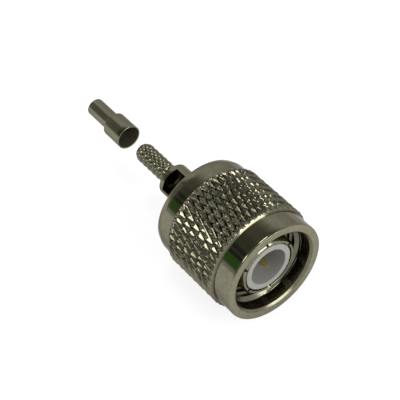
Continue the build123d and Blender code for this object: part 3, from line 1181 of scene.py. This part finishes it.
@dataclass
class CrimpSleeve:
    """Thin drawn tube with a step: wide over the stem's braid, narrow over the cable's jacket."""

    columns: int = 128
    more_rows: int = 8
    mouth: float = 30.1
    mouth_edge: float = 0.03
    face: float = 0.06
    shoulder: float = 33.6
    shoulder_edge: float = 0.15
    shoulder_wall: float = 0.15
    rear: float = 37.95
    wide: float = 1.72
    wide_bore: float = 1.57
    narrow: float = 1.235
    narrow_bore: float = 1.085
    outer_soft: tuple[float, ...] = (0.05, 0.12, 0.06, 0.05, 0.05)
    inner_soft: tuple[float, ...] = (0.02, 0.1, 0.05)

    def build(self, shop: Workshop) -> None:
        """Builds the sleeve as one closed wall, with its shoulder rounded as drawing leaves it.

        Args:
            shop: gives it its finish.
        """
        outline = softened(
            self.outer_soft,
            (self.wide - self.face, self.mouth), (self.wide, self.mouth),
            (self.wide, self.shoulder - self.shoulder_edge),
            (self.wide - self.shoulder_edge, self.shoulder), (self.narrow, self.shoulder),
            (self.narrow, self.rear), (self.narrow - self.face, self.rear),
        )
        step = self.shoulder - self.shoulder_wall
        inside = softened(
            self.inner_soft,
            (self.wide_bore + self.mouth_edge, self.mouth), (self.wide_bore, self.mouth + self.mouth_edge),
            (self.wide_bore, step), (self.narrow_bore, step), (self.narrow_bore, self.rear),
        )
        outline = filled(outline, len(outline) + self.more_rows)
        turn = turns(self.columns)
        inner = lathed(filled(inside, len(outline)), turn)
        piece = Skin().tube(lathed(outline, turn), inner).made("sleeve_tube")
        shop.place(piece, Finishes.SLEEVE, "sleeve", "nickel_sleeve", "crimp_sleeve")


@dataclass
class HiddenParts:
    """CAD nodes that stay as they are, in their finishes."""

    finishes: tuple[tuple[str, Finishes], ...] = (
        ("retaining_ring", Finishes.BRONZE),
        ("gasket", Finishes.SILICONE),
        ("rear_insulator", Finishes.PTFE),
        ("centre_contact", Finishes.GOLD),
    )

    def build(self, shop: Workshop) -> None:
        """Dresses each node in what the shop makes."""
        for node, finish in self.finishes:
            shop.dress(node, finish)


# Studio


@dataclass(frozen=True)
class Tone:
    """Tone of the room at a turn about the plug's axis from +Z towards -X, in degrees.

    The turn holds for what lies 58 degrees off the axis. Nearer to the axis it moves by the slant
    for each degree, because the room's edges don't run straight at the plug. The colour holds about
    the same angle, and to both sides of it the tone becomes the colour aside.
    """

    turn: float
    colour: str
    slant: float = 0.0
    aside: str = ""


@dataclass(frozen=True)
class Room:
    """What the plate mirrors of the room above: a curved screen that only reflections see.

    From the right to the left it is a pale wall, a shaded ceiling that gets darker, two dark beams
    with light between them and a green sheet, and then the white of the studio. Each has a plain
    colour. Angles are in degrees, and a tilt is one off the plug's axis.
    """

    tones: tuple[Tone, ...] = (
        # The white studio, and the pale wall.
        Tone(-120, "#ffffff"),
        Tone(-100, "#dddddd"),
        Tone(-60, "#dddddd"),
        Tone(-40, "#eeeeee", 4.0),
        # The ceiling, which darkens towards the beams.
        Tone(-15, "#777770", 4.0),
        Tone(10, "#777770", 2.0, "#a0a098"),
        Tone(25, "#606055", 1.0, "#a0a098"),
        Tone(40, "#666660", aside="#a0a098"),
        # Two beams with light between them.
        Tone(43, "#3a3a3a", aside="#999990"),
        Tone(49, "#3a3a3a", aside="#999990"),
        Tone(51, "#666660", aside="#a0a098"),
        Tone(53, "#666660", aside="#a0a098"),
        Tone(55, "#3a3a3a", aside="#999990"),
        Tone(60, "#3a3a3a", aside="#999990"),
        # The green sheet, and the studio again.
        Tone(63, "#508040", aside="#a0a098"),
        Tone(80, "#508040", aside="#a0a098"),
        Tone(84, "#bbbbbb"),
        Tone(95, "#eeeeee"),
        Tone(120, "#ffffff"),
    )
    straight: float = 58.0
    slant_ends: tuple[float, float] = (-3.0, 9.0)
    aside_middle: float = 57.0
    aside_start: float = 3.0
    aside_length: float = 9.0
    tilt_from: float = 8.0
    tilt_to: float = 106.0
    fade: float = 8.0
    distance: float = 0.6
    turn_step: float = 0.5
    tilt_rows: int = 50

    def colours(self, turn: np.ndarray, tilt: np.ndarray) -> np.ndarray:
        """Colour of each point: straight ramps between the tones, fading to white at both tilts.

        There is one ramp of colours and one of the colours aside, which are mixed by the tilt.

        Args:
            turn: turns in degrees, the same in each row.
            tilt: angles from +Y in degrees, the same in each column.

        Returns:
            Rows by columns by red, green, blue and alpha.
        """
        stops = np.array([tone.turn for tone in self.tones])
        slants = np.array([tone.slant for tone in self.tones])
        shades = np.array([linear(tone.colour) for tone in self.tones])
        others = np.array([linear(tone.aside or tone.colour) for tone in self.tones])
        off = np.clip(self.straight - tilt[:, :1], *self.slant_ends)
        places = np.maximum.accumulate(stops + slants * off, axis=1)
        rows = list(zip(turn, places))
        ramps = [
            np.array([[np.interp(line, place, part) for part in colours.T] for line, place in rows])
            for colours in (shades, others)
        ]
        colour, other = (ramp.transpose(0, 2, 1) for ramp in ramps)
        beside = np.abs(tilt - self.aside_middle) - self.aside_start
        aside = np.clip(beside / self.aside_length, 0, 1)[..., None]
        inside = np.clip(np.minimum(tilt - self.tilt_from, self.tilt_to - tilt) / self.fade, 0, 1)[..., None]
        return 1 - inside * (1 - (colour * (1 - aside) + other * aside))

    def build(self) -> None:
        """Builds the screen: x = -d sin(tilt) sin(turn), y = d cos(tilt), z = d sin(tilt) cos(turn)."""
        turn, tilt = np.meshgrid(
            np.arange(self.tones[0].turn, self.tones[-1].turn + self.turn_step, self.turn_step),
            np.linspace(self.tilt_from, self.tilt_to, self.tilt_rows),
        )
        away = np.radians(tilt)
        points = self.distance * around(np.sin(away), np.cos(away), np.radians(turn))
        faces = sheet(np.arange(turn.size).reshape(turn.shape))
        mesh = bpy.data.meshes.new("room_screen")
        mesh.from_pydata(points.reshape(-1, 3).tolist(), [], faces.tolist())
        tone = mesh.color_attributes.new("tone", "FLOAT_COLOR", "POINT")
        tone.data.foreach_set("color", self.colours(turn, tilt).astype(np.float32).ravel())
        screen = placed("room_screen", mesh)
        material = bpy.data.materials.new("room_screen")
        material.use_nodes = True
        tree = material.node_tree
        tree.nodes.remove(tree.nodes["Principled BSDF"])
        stored = add_node(tree, "ShaderNodeAttribute", attribute_name="tone").outputs["Color"]
        glow = add_node(tree, "ShaderNodeEmission", {"Color": stored, "Strength": 1.0})
        tree.links.new(glow.outputs[0], tree.nodes["Material Output"].inputs["Surface"])
        mesh.materials.append(material)
        for rays in ("camera", "diffuse", "shadow", "transmission"):
            setattr(screen, "visible_" + rays, False)


@dataclass(frozen=True)
class Softbox:
    """Lamp with a rectangular face, in metres, towards the plug, placed where the plug sees it."""

    name: str
    towards: tuple[float, float, float]
    width: float
    height: float
    brightness: float
    distance: float = 0.5

    def build(self) -> None:
        """Makes the lamp; its power is brightness times pi times its area."""
        data = bpy.data.lights.new(self.name, "AREA")
        data.shape = "RECTANGLE"
        data.size = self.width
        data.size_y = self.height
        data.energy = self.brightness * math.pi * self.width * self.height
        lamp = placed(self.name, data)
        direction = Vector(self.towards).normalized()
        lamp.location = direction * self.distance
        lamp.rotation_mode = "QUATERNION"
        lamp.rotation_quaternion = direction.to_track_quat("Z", "Y")


@dataclass
class Studio:
    """Pale floor, soft lamps, the room that the plate mirrors, and the photo's camera.

    The shadow shares say how much of its shadows the floor keeps, as the camera sees it and as the
    plate mirrors it. The rest of it is an even white glow.
    """

    lens: float = 113.2
    camera_place: tuple[float, float, float] = (-67.30, -74.42, 109.45)
    camera_forward: tuple[float, float, float] = (0.43172, 0.57108, -0.69821)
    floor_height: float = -7.34
    floor_half: float = 3.0
    world_light: float = 0.5
    shadow_share: float = 0.2
    mirrored_shadow_share: float = 0.7
    glow: float = 1.06
    softboxes: tuple[Softbox, ...] = (
        Softbox("softbox_above", (-0.04, 0.2, 0.97), width=0.165, height=0.14, brightness=8.0),
        Softbox("softbox_beside", (-0.74, 0.2, 0.64), width=0.24, height=0.11, brightness=3.6),
        Softbox("softbox_in_front", (0.18, -0.8, 0.57), width=0.42, height=0.2, brightness=7.0),
    )
    room: Room = field(default_factory=Room)

    def seen(self, tree: Tree) -> Socket:
        """Adds what tells how a ray came.

        Args:
            tree: where the nodes go.

        Returns:
            1 for rays from the camera, a reflection or glass, and 0 for light that falls on things.
        """
        path = add_node(tree, "ShaderNodeLightPath").outputs
        pair = [path["Is Camera Ray"], path["Is Glossy Ray"]]
        pair = [add_node(tree, MATH, pair, operation="MAXIMUM").outputs[0], path["Is Transmission Ray"]]
        return add_node(tree, MATH, pair, operation="MAXIMUM").outputs[0]

    def build_world(self) -> None:
        """White surroundings for the camera and reflections, and an even soft light on the rest."""
        world = bpy.data.worlds.new("studio")
        bpy.context.scene.world = world
        world.use_nodes = True
        tree = world.node_tree
        tree.nodes.clear()
        light, white = (
            add_node(tree, "ShaderNodeBackground", {"Color": (1, 1, 1, 1), "Strength": strength}).outputs[0]
            for strength in (self.world_light, 1.0)
        )
        mixed = add_node(tree, "ShaderNodeMixShader", [self.seen(tree), light, white])
        add_node(tree, "ShaderNodeOutputWorld", {"Surface": mixed.outputs[0]})

    def build_floor(self) -> None:
        """Pale floor under the nut. What the camera sees of it is mostly even white, with a shadow."""
        mesh = bpy.data.meshes.new("floor")
        half, height = self.floor_half, self.floor_height * MM
        corners = [(-half, -half, height), (half, -half, height), (half, half, height), (-half, half, height)]
        mesh.from_pydata(corners, [], [(0, 1, 2, 3)])
        floor = placed("floor", mesh)
        material = bpy.data.materials.new("floor_white_paper")
        material.use_nodes = True
        tree = material.node_tree
        shader = tree.nodes["Principled BSDF"]
        shader.inputs["Base Color"].default_value = linear("#ffffff")
        shader.inputs["Roughness"].default_value = 0.9
        shader.inputs["Specular IOR Level"].default_value = 0.0
        glow = add_node(tree, "ShaderNodeEmission", {"Color": (1, 1, 1, 1), "Strength": self.glow})
        mirrored = add_node(tree, "ShaderNodeLightPath").outputs["Is Glossy Ray"]
        pair = [self.seen(tree), 1 - self.shadow_share]
        plain = add_node(tree, MATH, pair, operation="MULTIPLY").outputs[0]
        share = add_node(tree, RAMP, [mirrored, 0.0, 1.0, plain, 1 - self.mirrored_shadow_share]).outputs[0]
        mixed = add_node(tree, "ShaderNodeMixShader", [share, shader.outputs[0], glow.outputs[0]])
        tree.links.new(mixed.outputs[0], tree.nodes["Material Output"].inputs["Surface"])
        mesh.materials.append(material)

    def build_camera(self) -> None:
        """Camera at the photo's place, upright, looking along the measured direction."""
        data = bpy.data.cameras.new("camera")
        data.lens = self.lens
        data.sensor_width = 36.0
        data.clip_start = 0.005
        data.clip_end = 20.0
        camera = placed("camera", data)
        forward = Vector(self.camera_forward).normalized()
        right = forward.cross(Vector((0, 0, 1))).normalized()
        up = right.cross(forward)
        turn = Matrix((right, up, -forward)).transposed().to_4x4()
        camera.matrix_world = Matrix.Translation(Vector(self.camera_place) * MM) @ turn
        bpy.context.scene.camera = camera

    def build(self) -> None:
        """Builds the whole studio."""
        self.build_world()
        self.build_floor()
        for softbox in self.softboxes:
            softbox.build()
        self.room.build()
        self.build_camera()
        bpy.context.scene.view_settings.view_transform = "Standard"
        log.info("studio: %d lamps and a screen of %d tones", len(self.softboxes), len(self.room.tones))


def main() -> None:
    """Builds every sub-assembly in order, then the studio round it."""
    logging.basicConfig(level=logging.INFO, format="%(name)s: %(message)s")
    shop = Workshop()
    parts = (CouplingNut(), ConnectorBody(), OuterContact(), Insulator(), CrimpSleeve(), HiddenParts())
    for part in parts:
        part.build(shop)
    Studio().build()


if __name__ == "__main__":
    main()
